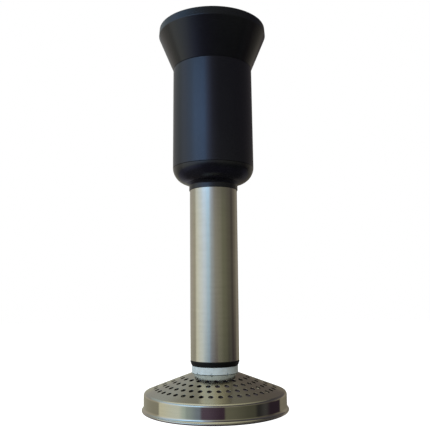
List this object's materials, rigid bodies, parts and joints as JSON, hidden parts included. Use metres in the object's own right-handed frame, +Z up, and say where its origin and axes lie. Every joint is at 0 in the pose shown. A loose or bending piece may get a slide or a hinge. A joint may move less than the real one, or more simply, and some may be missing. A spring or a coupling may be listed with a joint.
{
  "type": "stick mixer puree foot",
  "caption": "Puree attachment for a commercial stick mixer: flared coupling cup, gear housing, steel drive tube and a perforated bell with a slow rotor inside.",
  "frame": {"origin": "centre of the bell's rim, on the surface that the foot stands on", "axes": "+Z up along the tube to the coupling cup, -Y towards the viewer of the front, +X to that viewer's right"},
  "size_m": [0.1258, 0.1258, 0.3424],
  "materials": {
    "black_nylon": "moulded, fine satin grain",
    "stainless": "circumferential brushing, half polished",
    "white_acetal": "moulded, satin",
    "black_rubber": "moulded, matt",
    "steel": "turned and ground",
    "aluminium": "turned",
    "bronze": "turned",
    "gear_nylon": "moulded, natural nylon"
  },
  "bodies": {
    "stem": {"coupling_cup": "black_nylon", "coupling_ring": "aluminium", "cup_screw_1": "steel", "cup_screw_2": "steel", "cup_screw_3": "steel", "cup_screw_4": "steel", "motor_seat_seal": "black_rubber", "input_seal": "black_rubber", "gear_housing": "black_nylon", "upper_bearing_plate": "aluminium", "input_bearing_lower_outer": "steel", "input_bearing_upper_outer": "steel", "ring_gear": "gear_nylon", "end_cap": "black_nylon", "tube_ferrule": "steel", "tube_nut": "steel", "output_bearing_outer": "steel", "output_seal": "black_rubber", "drive_tube": "stainless", "foot_bearing_block": "white_acetal", "foot_bush": "bronze", "foot_seal": "black_rubber", "tube_gasket": "black_rubber"},
    "bell_assembly": {"bell": "stainless", "bell_hub": "white_acetal", "hub_ring": "black_nylon"},
    "input_drive": {"drive_socket": "steel", "socket_screw": "steel", "input_shaft": "steel", "input_circlip": "steel", "input_bearing_lower_inner": "steel", "input_bearing_upper_inner": "steel", "sun_gear_1": "steel"},
    "first_carrier": {"carrier_1": "steel", "planet_pin_1_1": "steel", "planet_pin_1_2": "steel", "planet_pin_1_3": "steel", "sun_gear_2": "steel"},
    "planet_1_1": {"planet_gear_1_1": "gear_nylon"},
    "planet_1_2": {"planet_gear_1_2": "gear_nylon"},
    "planet_1_3": {"planet_gear_1_3": "gear_nylon"},
    "output_rotor": {"carrier_2": "steel", "planet_pin_2_1": "steel", "planet_pin_2_2": "steel", "planet_pin_2_3": "steel", "output_shaft": "steel", "output_bearing_inner": "steel", "output_circlip": "steel", "rotor": "stainless", "rotor_drive_pin": "steel", "rotor_washer": "steel", "rotor_nut": "steel"},
    "planet_2_1": {"planet_gear_2_1": "gear_nylon"},
    "planet_2_2": {"planet_gear_2_2": "gear_nylon"},
    "planet_2_3": {"planet_gear_2_3": "gear_nylon"}
  },
  "joints": [
    {"name": "rotor_spin", "type": "hinge", "parent": "stem", "child": "output_rotor", "pos_m": [0, 0, 0.02], "axis": [0, 0, 1], "continuous": true},
    {"name": "first_carrier_spin", "type": "hinge", "parent": "stem", "child": "first_carrier", "pos_m": [0, 0, 0.258], "axis": [0, 0, 1], "continuous": true},
    {"name": "input_spin", "type": "hinge", "parent": "stem", "child": "input_drive", "pos_m": [0, 0, 0.3], "axis": [0, 0, 1], "continuous": true},
    {"name": "planet_1_1_spin", "type": "hinge", "parent": "first_carrier", "child": "planet_1_1", "pos_m": [0, 0.01785, 0.267], "axis": [0, 0, 1], "continuous": true},
    {"name": "planet_1_2_spin", "type": "hinge", "parent": "first_carrier", "child": "planet_1_2", "pos_m": [-0.01546, -0.00893, 0.267], "axis": [0, 0, 1], "continuous": true},
    {"name": "planet_1_3_spin", "type": "hinge", "parent": "first_carrier", "child": "planet_1_3", "pos_m": [0.01546, -0.00893, 0.267], "axis": [0, 0, 1], "continuous": true},
    {"name": "planet_2_1_spin", "type": "hinge", "parent": "output_rotor", "child": "planet_2_1", "pos_m": [0, 0.01785, 0.244], "axis": [0, 0, 1], "continuous": true},
    {"name": "planet_2_2_spin", "type": "hinge", "parent": "output_rotor", "child": "planet_2_2", "pos_m": [-0.01546, -0.00893, 0.244], "axis": [0, 0, 1], "continuous": true},
    {"name": "planet_2_3_spin", "type": "hinge", "parent": "output_rotor", "child": "planet_2_3", "pos_m": [0.01546, -0.00893, 0.244], "axis": [0, 0, 1], "continuous": true},
    {"name": "bell_twist", "type": "hinge", "parent": "stem", "child": "bell_assembly", "pos_m": [0, 0, 0.029], "axis": [0, 0, 1], "range_deg": [0, 40]}
  ],
  "couplings": [
    {"joint": "first_carrier_spin", "follows": "rotor_spin", "ratio": 4.6667},
    {"joint": "input_spin", "follows": "rotor_spin", "ratio": 21.778},
    {"joint": "planet_1_1_spin", "follows": "rotor_spin", "ratio": -12.833},
    {"joint": "planet_1_2_spin", "follows": "rotor_spin", "ratio": -12.833},
    {"joint": "planet_1_3_spin", "follows": "rotor_spin", "ratio": -12.833},
    {"joint": "planet_2_1_spin", "follows": "rotor_spin", "ratio": -2.75},
    {"joint": "planet_2_2_spin", "follows": "rotor_spin", "ratio": -2.75},
    {"joint": "planet_2_3_spin", "follows": "rotor_spin", "ratio": -2.75}
  ]
}
